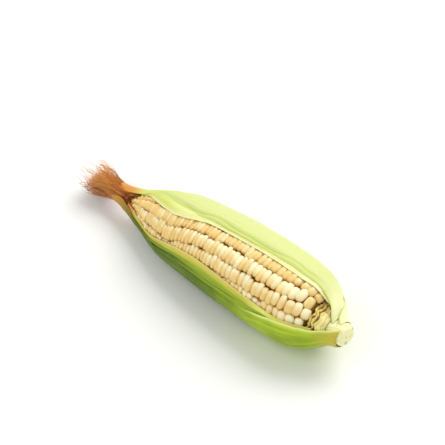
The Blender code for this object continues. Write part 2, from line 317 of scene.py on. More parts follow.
class Finish:
    """A material on one Principled shader, whose unchanging values are set on its own sockets."""

    def __init__(self, name, **constants):
        self.material = bpy.data.materials.new(name)
        self.material.use_nodes = True
        self.tree = self.material.node_tree
        self.shader = self.tree.nodes["Principled BSDF"]
        for socket, value in constants.items():
            self.shader.inputs[socket.replace("_", " ").title().replace("Ior", "IOR")].default_value = value

    def node(self, kind, settings=None, inputs=None, output=0):
        made = self.tree.nodes.new(kind)
        for key, value in (settings or {}).items():
            if key == "stops":
                self.set_stops(made.color_ramp, value)
            else:
                setattr(made, key, value)
        for key, value in (inputs or {}).items():
            if isinstance(value, Socket):
                self.tree.links.new(value.output, made.inputs[key])
            else:
                made.inputs[key].default_value = value
        return Socket(self, made.outputs[output])

    @staticmethod
    def set_stops(color_ramp, stops):
        while len(color_ramp.elements) < len(stops):
            color_ramp.elements.new(1)
        for element, (position, colour) in zip(color_ramp.elements, stops):
            element.position = position
            element.color = (*colour, 1)

    def attribute(self, name):
        return self.node("ShaderNodeAttribute", {"attribute_name": name}, output="Fac")

    def object_place(self):
        return self.node("ShaderNodeTexCoord", output="Object")

    def along_place(self):
        return self.node("ShaderNodeUVMap", {"uv_map": "Along"})

    def part(self, vector, axis):
        return self.node("ShaderNodeSeparateXYZ", inputs={0: vector}, output=axis)

    def noise(self, vector, stretch=(1, 1, 1), scale=1.0, detail=3.0, roughness=0.55):
        """Noise around 0.5 that is finer along the axes with more stretch."""
        vector = self.node("ShaderNodeMapping", inputs={"Vector": vector, "Scale": stretch})
        inputs = {"Vector": vector, "Scale": scale, "Detail": detail, "Roughness": roughness}
        return self.node("ShaderNodeTexNoise", inputs=inputs)

    def colours(self, value, *stops):
        return self.node("ShaderNodeValToRGB", {"stops": stops}, {0: value})

    def blend(self, share, low, high):
        """low where share is 0 and high where it is 1. Each is a colour or a socket."""
        low, high = ((*c, 1) if isinstance(c, tuple) else c for c in (low, high))
        return self.node("ShaderNodeMix", {"data_type": "RGBA"}, {0: share, 6: low, 7: high}, output=2)

    def feed(self, socket, value):
        self.tree.links.new(value.output, self.shader.inputs[socket])

    def bump(self, height, depth):
        """Dents and ridges of the given depth where height goes from 0 to 1."""
        self.feed("Normal", self.node("ShaderNodeBump", inputs={"Height": height, "Distance": depth}))


# ---- Sizes and colours that a user would change ----


def length(name, description, default):
    limits = {"min": 0, "unit": "LENGTH", "precision": 5}
    return FloatProperty(name=name, description=description, default=default, **limits)


def view_angle(name, description, degrees):
    default = math.radians(degrees)
    return FloatProperty(name=name, description=description, default=default, subtype="ANGLE")


def colour(name, description, *screen):
    limits = {"subtype": "COLOR", "min": 0, "max": 1}
    return FloatVectorProperty(name=name, description=description, default=linear(*screen), **limits)


class CornEarSettings(bpy.types.PropertyGroup):
    rows: IntProperty(name="Rows", description="Rows of kernels round the cob", default=14, min=8, max=20)
    crown: length("Crown height", "How far a kernel's crown stands above its shoulders", 2.3 * MM)
    root: length("Root depth", "How far a kernel reaches in below its shoulders", 3.2 * MM)
    cream: colour("Kernel", "Crown of a kernel", 1.0, 0.97, 0.79)
    # peach is each kernel's own darker shade and also the colour of painted shade on the kernels
    peach: colour("Ripe kernel", "Crown of a darker kernel", 0.95, 0.81, 0.49)
    # tan is painted shade down the kernels' sides, deep between them, and on the cob
    tan: colour("Kernel root", "Sides of a kernel, deep between its neighbours", 0.77, 0.57, 0.22)


class CornHuskSettings(bpy.types.PropertyGroup):
    ribs: IntProperty(name="Ribs", description="Raised ribs across one husk leaf", default=26, min=4)
    rib_height: length("Rib height", "How far a rib stands out of the leaf", 0.12 * MM)
    wave_height: length("Wave height", "How far a leaf waves in and out along its length", 0.22 * MM)
    curl: length("Lip curl", "How far the leaves' lips roll toward the cob", 1.0 * MM)
    green: colour("Outer leaf", "Outer green leaf", 0.72, 0.82, 0.17)
    # deep_green is the leaves' own darker streaks and also painted shade on the outer leaf's tip half
    deep_green: colour("Deep green", "Darker streaks and underside of the outer leaf", 0.33, 0.43, 0.02)
    middle: colour("Middle leaf", "Leaf between the outer and the inner one", 0.61, 0.70, 0.16)
    olive: colour("Inner leaf", "Thin leaf next to the kernels", 0.82, 0.77, 0.32)
    tan: colour("Inner lip", "Edge of the thin leaf next to the kernels", 0.92, 0.85, 0.48)
    pale: colour("Pale leaf", "Smooth pale leaf on the far side", 0.86, 0.88, 0.59)
    cream: colour("Leaf foot", "Whitish foot of the pale leaf", 0.98, 0.97, 0.74)
    lime: colour("Pale green", "Greener streaks and lips of the pale leaf", 0.85, 0.89, 0.45)
    dry: colour("Dry tip", "Leaf tip that has dried at the silk", 0.90, 0.62, 0.30)


class CornSilkSettings(bpy.types.PropertyGroup):
    strands: IntProperty(name="Strands", description="Threads of silk", default=900, min=10)
    radius: length("Strand radius", "Radius of a thread at its root", 0.2 * MM)
    dark: colour("Root colour", "Silk where it leaves the cob", 0.53, 0.24, 0.07)
    brown: colour("Middle colour", "Silk in the neck", 0.80, 0.45, 0.17)
    light: colour("Tip colour", "Dried ends of the silk", 0.96, 0.69, 0.38)


class CornShankSettings(bpy.types.PropertyGroup):
    knobs: length("Knob height", "How far the stalk's knobs stand out", 0.55 * MM)
    cream: colour("Stalk", "Cut stalk", 0.99, 0.97, 0.74)
    brown: colour("Stalk spots", "Spots on the stalk where it has dried", 0.62, 0.50, 0.22)


class CornStageSettings(bpy.types.PropertyGroup):
    azimuth: view_angle("Azimuth", "Camera's turn round the ear", 47)
    elevation: view_angle("Elevation", "Camera's angle above the floor", 40)
    distance: length("Distance", "From the camera to the ear", 1.1)
    lens: FloatProperty(name="Lens", description="Focal length in millimetres", default=128.2)
    aim_right: length("Aim right", "The camera looks this far to the right of the ear's middle", 9.6 * MM)
    aim_up: length("Aim up", "The camera looks this far above the ear's middle", 14.4 * MM)
    floor: colour("Floor", "Plain pale floor", 0.96, 0.96, 0.95)


# ---- The cob with its kernels ----

KERNEL_SEED = 14
FINE_STATIONS = 800
STATION_JITTER = 0.07  # of a kernel's pitch
ROW_JITTER = 0.06  # of the step between rows
# Mean and spread of the kernels' sizes, as shares of the room, half the pitch and the crown's height
KERNEL_WIDTH = (1.04, 0.05)
KERNEL_LENGTH = (1.26, 0.08)
KERNEL_HEIGHT = (1, 0.11)
KERNEL_DENT = (0.10, 0.08)
KERNEL_TILT = 0.2
KERNEL_SKEW = 0.10
THINNEST_FULL_COB = 6 * MM
COB_RINGS = 60
COB_AROUND = 72


def kernel_shape():
    """Points and faces of one kernel on a square grid, in shares of its half width, half length and height.

    Rings of the grid run from the middle of the crown over the shoulders down to the root. Each ring is
    a square rounded to a superellipse. The root's outline is closed by one face."""
    rings = len(KERNEL_RING_SIZES) - 1
    side = 2 * rings + 1
    steps = np.arange(-rings, rings + 1)
    s, t = np.meshgrid(steps, steps, indexing="ij")
    ring = np.maximum(abs(s), abs(t))
    safe = np.maximum(ring, 1)
    total = abs(s / safe) ** KERNEL_ROUNDING + abs(t / safe) ** KERNEL_ROUNDING + (ring == 0)
    rounding = total ** (-1 / KERNEL_ROUNDING)
    size = np.take(KERNEL_RING_SIZES, ring)
    height = np.take(KERNEL_RING_HEIGHTS, ring)
    across, along = s / safe * rounding * size, t / safe * rounding * size
    faces, bottom = grid_faces(side, side)[:, ::-1], grid_rim(side, side)[None]
    return across.ravel(), along.ravel(), height.ravel(), faces, bottom


def uneven(random, size, mean, spread):
    """Random numbers round the mean, spread by the given standard deviation."""
    return mean + spread * random.normal(size=size)


def row_stations(random, phase):
    """Stations of the kernels of one row, from the butt to the tip, a pitch apart with some unevenness."""
    fine = np.linspace(EAR_BUTT - 0.8 * MM, EAR_TIP + 0.7 * MM, FINE_STATIONS)
    count = np.concatenate([[0], np.cumsum(np.abs(np.diff(fine)) / kernel_pitch(fine[:-1]))])
    wanted = np.arange(phase, count[-1])
    return np.interp(wanted + random.normal(0, STATION_JITTER, len(wanted)), count, fine)


def ear_surface(x):
    """Distance from the cob's axis to the kernels' crowns. At the tip it falls to 0 as a round end does."""
    return ear_radius(x) * np.sqrt(np.clip((x - EAR_TIP) / TIP_ROUNDING, 0, 1))


def place_kernels(ear, random):
    """Station, angle, half width, half length and height share of every kernel, as columns.

    Where the cob is thin only every other row goes on, with wider, longer and lower kernels."""
    found = []
    step = 360 / ear.rows
    for row in range(ear.rows):
        x = row_stations(random, 0.35 * (row % 2) + 0.2 * random.random())
        radius = np.maximum(ear_surface(x) - ear.crown / 2, 1 * MM)
        crowded = radius < THINNEST_FULL_COB
        keep = ~crowded | (row % 2 == 0)
        x, radius, crowded = x[keep], radius[keep], crowded[keep]
        angle = row_angle(x, row * step + random.normal(0, ROW_JITTER * step, len(x)))
        left, right = row_angle(x, row * step - step / 2), row_angle(x, row * step + step / 2)
        room = np.radians(right - left) * radius / 2
        width = room * uneven(random, len(x), *KERNEL_WIDTH) * (1 + 0.7 * crowded)
        half_length = kernel_pitch(x) / 2 * uneven(random, len(x), *KERNEL_LENGTH) * (1 + 0.2 * crowded)
        height = uneven(random, len(x), *KERNEL_HEIGHT) - 0.35 * crowded
        found.append(np.stack([x, angle, width, half_length, height], axis=1))
    return np.concatenate(found)


def kernel_points(ear, random):
    """Points, faces and attributes of all kernels: the one shape, sized and set in each kernel's own axes.

    The axes are along the row, round the cob, and their cross product, out of the cob. Each crown has a
    small tilt, skew and dent of its own. The attributes are the kernel's own tone, crown, which falls from
    the top of the crown to the root, and upper, the place across the kernel from -1 to 1. The finish paints
    shade where crown is low and on one half across."""
    x, angle, width, half_length, height = place_kernels(ear, random).T[:, :, None]
    shape_across, shape_along, shape_height, faces, bottom = kernel_shape()

    def place(x, angle):
        return around_axis(x, angle, np.maximum(ear_surface(x) - ear.crown, 0.2 * MM), ear_lift(x))

    small = 0.3 * MM
    turned = row_twist(x + small) - row_twist(x - small)
    along = place(x + small, angle + turned / 2) - place(x - small, angle - turned / 2)
    along /= np.linalg.norm(along, axis=-1, keepdims=True)
    across = place(x, angle + 1) - place(x, angle - 1)
    across /= np.linalg.norm(across, axis=-1, keepdims=True)
    out = np.cross(along, across)
    count = len(x)
    tilt_across, tilt_along = KERNEL_TILT * random.normal(size=(2, count, 1))
    dent = np.clip(uneven(random, (count, 1), *KERNEL_DENT), 0, 0.3)
    skew = KERNEL_SKEW * random.normal(size=(count, 1))
    crown = np.maximum(shape_height, 0)
    rise = shape_height * np.where(shape_height > 0, ear.crown * height, ear.root)
    rise = rise + crown * ear.crown * (tilt_across * shape_across + tilt_along * shape_along)
    rise = rise - ear.crown * dent * crown * np.exp(-3 * (shape_across**2 + 1.5 * shape_along**2))
    slide = half_length * (shape_along + skew * shape_across * crown)
    points = place(x, angle) + across * (width * shape_across)[..., None]
    points = points + along * slide[..., None] + out * rise[..., None]
    each = points.shape[1]
    starts = (np.arange(count) * each)[:, None, None]
    quads = (faces[None] + starts).reshape(-1, 4)
    bottoms = (bottom[None] + starts).reshape(count, -1)
    tone = np.repeat(random.random(count), each)
    # crown falls from the top of the crown to the root, less at the ends along the row; the finish paints
    # shade in tan where it is low
    unshaded = (shape_height + 1) / 2 + 0.22 * abs(shape_along) * (1 - abs(shape_across))
    attributes = {"tone": tone, "crown": np.tile(unshaded, count), "upper": np.tile(shape_across, count)}
    return points.reshape(-1, 3), [quads, bottoms], attributes


def spun_grid(x, radius, around, lift):
    """A closed body round the axis through sections at the stations x, whose ends are single points."""
    angle = -360 * np.arange(around) / around
    rings = around_axis(x[1:-1, None], angle, radius[1:-1], lift(x[1:-1])[:, None])
    ends = around_axis(x[[0, -1]], 0, 0, lift(x[[0, -1]]))
    points = np.concatenate([rings.reshape(-1, 3), ends])
    rows = len(x) - 2
    first = np.arange(around)
    after = np.roll(first, -1)
    last = first + (rows - 1) * around
    start_fan = np.stack([np.full(around, rows * around), after, first], axis=-1)
    end_fan = np.stack([np.full(around, rows * around + 1), last, last[0] + after], axis=-1)
    return points, [grid_faces(rows, around, closed=True)[:, ::-1], start_fan, end_fan]


def join_parts(*parts):
    """One set of points, faces and attributes from several."""
    points, faces, attributes = [], [], {}
    count = 0
    for part_points, part_faces, part_attributes in parts:
        points.append(part_points)
        faces += [face + count for face in part_faces]
        for key, values in part_attributes.items():
            attributes.setdefault(key, []).append(np.broadcast_to(values, len(part_points)))
        count += len(part_points)
    return np.concatenate(points), faces, {key: np.concatenate(v) for key, v in attributes.items()}


def kernel_finish(ear):
    """Waxy cream with faint clouds, each kernel its own shade, and painted shade in tan down a kernel's
    sides.

    Peach comes in toward the tip. Painted shade in peach falls on the half of each kernel toward the near
    side and on the rows at both edges of the opening, next to the husk's lips."""
    finish = Finish(
        "Kernel skin", roughness=0.34, subsurface_weight=0.12, subsurface_scale=0.002,
        subsurface_radius=(1.0, 0.7, 0.35), coat_weight=0.15,
    )
    place = finish.object_place()
    cloud = finish.noise(place, scale=240, detail=2)
    # Painted shade: upper, the place across a kernel, turns its half toward the near side peach and its far
    # half cream
    tone = finish.attribute("tone") * 0.5 + cloud * 0.6 - finish.attribute("upper") * 0.4
    tone = tone + finish.part(place, "X").range(-70 * MM, 60 * MM, 0.4, 0)
    # Painted shade: the rows at both edges of the opening, next to the husk's lips, go peach
    tone = tone + finish.part(place, "Y").range(-26 * MM, -12 * MM, 0.35, 0)
    tone = tone + finish.part(place, "Y").range(-13 * MM, -5 * MM, 0, 0.3)
    skin = finish.blend(tone.range(0.2, 1.1), tuple(ear.cream), tuple(ear.peach))
    # Painted shade: tan where crown is low, down a kernel's sides, deep between kernels and on the cob
    skin = finish.blend(finish.attribute("crown").range(0.4, 0.86), tuple(ear.tan), skin)
    finish.feed("Base Color", skin)
    finish.bump(finish.noise(place, scale=900, detail=2), 0.05 * MM)
    return finish.material


class CORN_OT_kernels(bpy.types.Operator):
    """Build the cob and its rows of kernels"""

    bl_idname = "corn.kernels"
    bl_label = "Kernels"

    def execute(self, context):
        ear = context.scene.corn_ear
        kernels = kernel_points(ear, np.random.default_rng(KERNEL_SEED))
        # The cob is as thick as the ear less the crowns and most of the roots. A cosine sets its rings
        # closer together toward both ends.
        eased = 1 - np.cos(np.linspace(0, np.pi, COB_RINGS))
        x = EAR_TIP + 3 * MM + (EAR_BUTT - EAR_TIP - 4 * MM) * eased / 2
        depth = (ear.crown + 0.75 * ear.root) * ramp(x, EAR_TIP, EAR_TIP + 12 * MM) + 0.5 * MM
        radius = np.maximum(ear_radius(x) - depth, 1.5 * MM)[:, None]
        # With crown 0 the cob is all the tan of the kernels' painted shade
        cob = (*spun_grid(x, radius, COB_AROUND, ear_lift), {"tone": 0.8, "crown": 0.0, "upper": 0.0})
        points, faces, attributes = join_parts(kernels, cob)
        add_piece("kernels", points, faces, kernel_finish(ear), ["kernel_ear"], attributes)
        return {"FINISHED"}


# ---- The husk leaves ----


@dataclass
class Leaf:
    """A husk leaf, as the frame has it. Stations are in millimetres and angles in degrees.

    depth is how deep it lies, 0 at the cob and 1 at the husk's outside. lower and upper are the angles of
    its edges. lip is the edge at the opening, 0 the lower and 1 the upper one; it shows its own colour
    from the station lip_start on, and curl is how far it rolls toward the cob. creased is the pair of
    stations between which creases run beside the lip."""

    name: str
    tip: float
    base: float
    closing: float
    depth: object
    lower: list
    upper: list
    lip: int
    slot: str
    seed: int
    curl: float
    lip_start: float = -150
    creased: tuple = (0, 0)


NEAR_INNER = Leaf(
    name="husk_near_inner", tip=-78, base=114, closing=11,
    depth=lambda angle: 0.2,
    lower=[(-78, -70), (-66, -96), (-40, -112), (-10, -130), (120, -130)],
    upper=[
        (-78, -24), (-70, -33), (-60, -50), (-48, -56), (-39, -53), (-28, -45), (-2, -33),
        (16, -30), (53, -34), (85, -37), (99, -36), (112, -33), (120, -24),
    ],
    lip=1, slot="leaf_olive", seed=1, curl=1.9,
)
NEAR_MIDDLE = Leaf(
    name="husk_near_middle", tip=-50, base=125, closing=10,
    depth=lambda angle: 0.6,
    lower=[(-50, -84), (-30, -120), (0, -140), (125, -140)],
    upper=[
        (-50, -66), (-30, -54), (0, -43), (40, -43), (70, -44), (88, -42), (105, -39), (116, -34),
        (125, -16),
    ],
    lip=1, slot="leaf_dark_green", seed=2, curl=1.1, creased=(-50, 70),
)
NEAR_OUTER = Leaf(
    name="husk_near_outer", tip=-97, base=130, closing=2,
    depth=lambda angle: 1,
    lower=[(-97, -128), (-80, -180), (-60, -190), (130, -190)],
    upper=[
        (-97, -30), (-85, -20), (-76, -34), (-62, -58), (-46, -62), (-28, -59), (0, -53), (40, -54),
        (60, -54), (76, -47), (88, -41), (101, -37), (113, -35), (118, -30), (123, -19), (127, -5),
        (130, 10),
    ],
    # The lip shows from station 50 on: the leaf's pale margin and a painted highlight where its edge
    # catches the light
    lip=1, slot="leaf_green", seed=3, curl=1.2, creased=(-72, 30), lip_start=50,
)
FAR_LIP = Leaf(
    name="husk_far_lip", tip=-72, base=114, closing=14,
    depth=lambda angle: 0.15,
    lower=[
        (-72, 42), (-62, 39), (-52, 27), (-44, 20), (-24, 13), (-15, 15), (-5, 21), (12, 29),
        (37, 31), (54, 33), (92, 36), (105, 42), (115, 47), (118, 47),
    ],
    upper=[(-72, 60), (-64, 70), (-40, 88), (0, 96), (50, 98), (118, 98)],
    lip=0, slot="leaf_olive", seed=4, curl=1.6,
)
FAR_INNER = Leaf(
    name="husk_far_inner", tip=-96, base=122.5, closing=18,
    depth=lambda angle: 1 - 0.72 * ramp(angle, 95, 118),
    lower=[
        (-96, 24), (-84, 30), (-74, 42), (-64, 52), (-57, 52), (-47, 42), (-24, 31), (-5, 30),
        (12, 34), (37, 36), (54, 38), (92, 42), (105, 48), (112, 49), (116, 44), (119, 31),
        (122.5, 8),
    ],
    upper=[(-96, 86), (-80, 130), (-62, 190), (-40, 212), (122, 212)],
    lip=0, slot="leaf_pale", seed=5, curl=2.8, creased=(-35, 112),
)
FAR_OUTER = Leaf(
    name="husk_far_outer", tip=-84, base=127.5, closing=7,
    depth=lambda angle: 1 - 0.4 * ramp(angle, 150, 175),
    lower=[(-84, 138), (-62, 122), (-40, 116), (106, 114), (116, 100), (121, 66), (124, 42), (127.5, 30)],
    upper=[(-84, 156), (-66, 166), (-50, 166), (-30, 206), (0, 214), (127, 214)],
    lip=0, slot="leaf_green", seed=6, curl=1.6,
)
LEAF_ROWS = 220
LEAF_COLUMNS = 130
CURL_WIDTH = 3 * MM
CREASE_HEIGHT = 0.3 * MM
CREASE_SPACING = 3.6 * MM
CREASE_REACH = 8 * MM
CREASE_FADE = 20 * MM
LIP_WIDTH = 1.6 * MM
LIP_FADE = 35


def leaf_arrays(leaf, husk_settings):
    """Points, faces, attributes and uv of a leaf.

    Its outside is the frame's leaf surface, moved out by ribs, a sine of the place across whose crests
    are sharpened, and by smooth ripples along the leaf. The lip curls toward the cob by a bell curve of
    the distance to it, and beside it run creases, a sine of that distance which ripples turn aside. The
    inside is one thickness deeper, thinner toward both edges. The edges waver a little."""
    grid = np.linspace(0, 1, LEAF_ROWS), np.linspace(0, 1, LEAF_COLUMNS)
    along, across = np.meshgrid(*grid, indexing="ij")
    x = (leaf.tip + (leaf.base - leaf.tip) * (along - 0.06 * np.sin(TURN * along))) * MM
    lower, upper = smooth_curve(leaf.lower, unit=1)(x), smooth_curve(leaf.upper, unit=1)(x)
    waver = 1.1 * ripples(0, along * 7, leaf.seed) + 0.35 * ripples(0, along * 24, leaf.seed + 50)
    angle = lower + (upper - lower) * across + waver * abs(2 * across - 1) ** 6
    snug = ramp(x, STALK_COLLAR, STALK_COLLAR + 3 * MM)
    room = hollow(x, angle)
    inner = room + LEAF_THICKNESS - snug * np.maximum(room - shank_profile(x) - 0.2 * MM, 0)
    open_out = np.sin(np.pi / 2 * np.clip((leaf.base * MM - x) / (leaf.closing * MM), 0, 1))
    radius = inner + (husk(x, angle) - inner) * leaf.depth(angle) * open_out
    crest = abs(np.sin(np.pi * husk_settings.ribs * across)) ** 1.5
    ends = np.sin(np.pi * np.clip(along, 0.02, 0.98)) ** 0.3
    radius = radius + husk_settings.rib_height * ends * (crest - 0.6)
    radius = radius + husk_settings.wave_height * ends * ripples(across * 2.5, along * 5, leaf.seed + 100)
    to_lip = (across if leaf.lip == 0 else 1 - across) * (upper - lower) * np.radians(1) * radius
    radius = radius - leaf.curl * husk_settings.curl * np.exp(-((to_lip / CURL_WIDTH) ** 2)) * ends
    first, last = (station * MM for station in leaf.creased)
    creased = ramp(x, first, first + CREASE_FADE) * (1 - ramp(x, last - CREASE_FADE, last + 1 * MM))
    aside = 0.7 * ripples(across * 3, along * 4, leaf.seed + 200)
    crease = np.sin(TURN * (to_lip / CREASE_SPACING + aside))
    crease = crease * creased * np.exp(-((to_lip / CREASE_REACH) ** 2))
    radius = radius + CREASE_HEIGHT * crease
    lip_shown = ramp(x, leaf.lip_start * MM, (leaf.lip_start + LIP_FADE) * MM)
    edge = np.minimum(across, 1 - across) * (upper - lower)
    thickness = LEAF_THICKNESS * (0.35 + 0.65 * ramp(edge, 0, 6)) * (0.5 + 0.5 * ends)
    attributes = {
        "lip": np.exp(-to_lip / LIP_WIDTH) * lip_shown,
        "away": ramp(to_lip, 2.5 * MM, 5 * MM),
        "rib": crest,
        # crease is the depth of a crease's trough, where the finish paints shade
        "crease": np.maximum(-crease, 0),
    }
    points, faces, attributes, uv = sheet(x, angle, radius, thickness, across, along, attributes)
    attributes["inside"] = np.repeat([0.0, 1.0], x.size)
    return points, faces, attributes, uv


def leaf_finish(name, look, skin, deep, deep_and_shade_ends, lip, tip, tip_ends, foot, foot_ends, away=0.0):
    """A husk leaf: streaks and veins along it, painted shade in its creases, and its own lip, dried tip and
    foot.

    Ends are stations in millimetres: where that colour is full, and where it begins. away is how much of
    the deep colour comes in away from the lip. The side that faces the cob is pale. On the outer leaf the
    deep colour over its tip half is painted shade."""
    finish = Finish(name, specular_ior_level=0.2, subsurface_weight=0.08, subsurface_scale=0.002)
    place, along = finish.object_place(), finish.along_place()
    streak = finish.noise(along, stretch=(150, 3, 1), detail=4, roughness=0.6)
    broad = finish.noise(along, stretch=(14, 3, 1))
    patch = finish.noise(place, scale=26)
    veins = finish.noise(along, stretch=(420, 2, 1), detail=2)
    station = finish.part(place, "X") + (streak - 0.5) * (14 * MM)

    def reach(ends, most=1.0):
        return station.range(*(end * MM for end in ends), most, 0)

    depth = (streak * 0.5 + broad * 0.5).range(0.38, 0.6, 0.45, 0) + patch.range(0.45, 0.8, 0, 0.25)
    # On the outer leaf the deep colour toward the tip, by station, is painted shade
    depth = depth + reach(deep_and_shade_ends, 0.75) + finish.attribute("away") * away
    surface = finish.blend(depth.range(0, 1), skin, deep)
    # Painted shade in the creases' troughs
    crease = finish.attribute("crease").range(0.25, 0.9, 0, 0.8)
    surface = finish.blend(crease, surface, shade(deep, 0.75, 0.85, 0.5))
    surface = finish.blend(reach(foot_ends), surface, foot)
    surface = finish.blend(finish.attribute("inside"), surface, look["pale"])
    surface = finish.blend(finish.attribute("lip").range(0.1, 0.8, 0, 0.85), surface, lip)
    surface = finish.blend(reach(tip_ends), surface, tip)
    finish.feed("Base Color", surface)
    finish.feed("Roughness", 0.32 + veins * 0.25)
    finish.bump(veins * 0.6 + finish.attribute("rib") * 0.2 + streak * 0.2, 0.16 * MM)
    return finish.material


def add_leaves(context, *looks):
    """One piece for each pair of a leaf and its finish."""
    for leaf, finish in looks:
        points, faces, attributes, uv = leaf_arrays(leaf, context.scene.corn_husk)
        name = leaf.name.replace("husk", "leaf")
        add_piece(name, points, faces, finish, [leaf.name], attributes, uv)


def husk_colours(context):
    """The husk's colours by the names of their settings."""
    names = ("green", "deep_green", "middle", "olive", "tan", "pale", "cream", "lime", "dry")
    return {name: tuple(getattr(context.scene.corn_husk, name)) for name in names}


class CORN_OT_near_leaves(bpy.types.Operator):
    """Build the husk leaves on the near side and under the ear"""

    bl_idname = "corn.near_leaves"
    bl_label = "Near leaves"

    def execute(self, context):
        look = husk_colours(context)
        brown = shade(look["dry"], 0.72, 0.78, 0.5)
        # yellow, the outer leaf's lip, is its pale margin and a painted highlight
        yellow = shade(look["cream"], 0.98, 1.02, 0.68)
        inner = leaf_finish(
            "Olive leaf", look, skin=look["olive"], deep=look["middle"], deep_and_shade_ends=(-90, -80),
            lip=look["tan"], tip=look["dry"], tip_ends=(-76, -60),
            foot=shade(look["lime"], 1.35, 1.3, 1.1), foot_ends=(88, 60), away=0.9,
        )
        middle = leaf_finish(
            "Middle leaf", look, skin=look["middle"], deep=look["deep_green"], deep_and_shade_ends=(-60, 80),
            lip=look["middle"], tip=look["olive"], tip_ends=(-52, -40),
            foot=look["olive"], foot_ends=(125, 110),
        )
        # The outer leaf's deep green, full up to station 12 and gone by 84, is painted shade
        outer = leaf_finish(
            "Outer leaf", look, skin=look["green"], deep=look["deep_green"], deep_and_shade_ends=(12, 84),
            lip=yellow, tip=brown, tip_ends=(-94, -62),
            foot=shade(look["olive"], 0.86, 0.88, 0.64), foot_ends=(128, 112),
        )
        add_leaves(context, (NEAR_INNER, inner), (NEAR_MIDDLE, middle), (NEAR_OUTER, outer))
        return {"FINISHED"}


class CORN_OT_far_leaves(bpy.types.Operator):
    """Build the husk leaves on the far side and the back"""

    bl_idname = "corn.far_leaves"
    bl_label = "Far leaves"

    def execute(self, context):
        look = husk_colours(context)
        yellow = shade(look["cream"], 1.0, 0.98, 0.8)
        thin = leaf_finish(
            "Thin far leaf", look, skin=yellow, deep=look["lime"], deep_and_shade_ends=(-60, 0),
            lip=yellow, tip=look["olive"], tip_ends=(-72, -54),
            foot=look["cream"], foot_ends=(110, 60),
        )
        pale = leaf_finish(
            "Pale leaf", look, skin=look["pale"], deep=look["lime"], deep_and_shade_ends=(-80, -10),
            lip=look["lime"], tip=look["dry"], tip_ends=(-84, -70),
            foot=look["cream"], foot_ends=(122, 98),
        )
        back = leaf_finish(
            "Back leaf", look, skin=look["lime"], deep=look["green"], deep_and_shade_ends=(-60, 110),
            lip=look["lime"], tip=look["olive"], tip_ends=(-84, -66),
            foot=look["cream"], foot_ends=(122, 95),
        )
        add_leaves(context, (FAR_LIP, thin), (FAR_INNER, pale), (FAR_OUTER, back))
        return {"FINISHED"}


# ---- The bases of torn leaves ----

STUB_BASES = [114.5 * MM, 117.2 * MM, 119.9 * MM]
STUB_ROOT = 9.2 * MM
STUB_RISE = 5.2 * MM
STUB_FLARE = 5.1 * MM
STUB_START = -78
STUB_END = 84
STUB_THICKNESS = 0.4 * MM
STUB_ROWS = 30
STUB_COLUMNS = 240


def stub_arrays(number, base):
    """Points, faces, attributes and uv of the base of a torn leaf, which flares out from its root at base.

    Its torn rim is a sine and ripples round the stalk. Its folds are ripples that grow toward the rim, and
    the third base has pleats too, a sine along the rise that ripples turn aside."""
    grid = np.linspace(1, 0, STUB_ROWS), np.linspace(0, 1, STUB_COLUMNS)
    rise, across = np.meshgrid(*grid, indexing="ij")
    angle = STUB_START + (STUB_END - STUB_START) * across
    wave = 0.6 * np.sin(TURN * 5 * across + number) + ripples(across * 9, 0, 30 + number)
    x = base - rise * (STUB_RISE + MM * wave)
    fold = ripples(across * 12, rise * 1.2, 40 + number)
    pleat = (number == 3) * np.sin(TURN * (2.6 * rise + 0.5 * ripples(across * 4, 0, 60)))
    radius = STUB_ROOT + STUB_FLARE * np.sin(np.pi / 2 * rise) + (fold * 0.9 + pleat * 0.35) * rise * MM
    shadow = ramp(angle, 14, 30) * ramp(-angle, -60, -46)
    attributes = {"rise": rise, "fold": fold, "pleat": pleat, "shadow": shadow}
    return sheet(x, angle, radius, STUB_THICKNESS, across, rise, attributes)


def stub_finish(look, between):
    """Tan along the torn edge, another colour deep between the folds, painted shade in the pleats and a
    brown painted shadow where the far leaf overhangs. On the first two bases the brown between the folds is
    painted shade too.
    """
    finish = Finish("Torn leaf", roughness=0.6)
    streak = finish.noise(finish.along_place(), stretch=(60, 2, 1), detail=4)
    edge = finish.attribute("rise") + finish.attribute("fold") * 0.12 + (streak - 0.5) * 0.3
    # between, deep between the folds, is painted shade on the first two bases and the leaf's own cream on
    # the third
    skin = finish.blend(edge.range(0.6, 0.88), between, shade(look["tan"], 1.1, 1.05, 1.0))
    # Painted shade in the pleats' troughs
    pleat = (0 - finish.attribute("pleat")).range(0.2, 1, 0, 0.4)
    skin = finish.blend(pleat, skin, shade(look["dry"], 0.85, 0.9, 0.6))
    # Painted shadow in dark brown where the far leaf overhangs
    patch = finish.attribute("shadow") + (streak - 0.5) * 0.6
    skin = finish.blend(patch.range(0.3, 0.9, 0, 0.6), skin, shade(look["dry"], 0.36, 0.42, 0.13))
    finish.feed("Base Color", skin)
    finish.bump(streak, 0.3 * MM)
    return finish.material


class CORN_OT_torn_leaves(bpy.types.Operator):
    """Build the crumpled bases of torn leaves round the butt"""

    bl_idname = "corn.torn_leaves"
    bl_label = "Torn leaf bases"

    def execute(self, context):
        look = husk_colours(context)
        # brown deep between the folds of the first two bases is painted shade; the third's yellow is its
        # own colour
        brown = shade(look["dry"], 0.36, 0.44, 0.16)
        yellow = shade(look["cream"], 1.05, 1.0, 0.75)
        for number, (base, between) in enumerate(zip(STUB_BASES, (brown, brown, yellow)), 1):
            points, faces, attributes, uv = stub_arrays(number, base)
            name, node = f"torn_leaf_base_{number}", f"torn_leaf_stub_{number}"
            finish = stub_finish(look, between)
            add_piece(name, points, faces, finish, [node], attributes, uv)
        return {"FINISHED"}


# ---- The silk ----

SILK_SEED = 31
THREAD_POINTS = 20
THREAD_SIDES = 3
LOCKS = 11
LOCK_SHARE = 0.55
STRAY_SHARE = 0.04


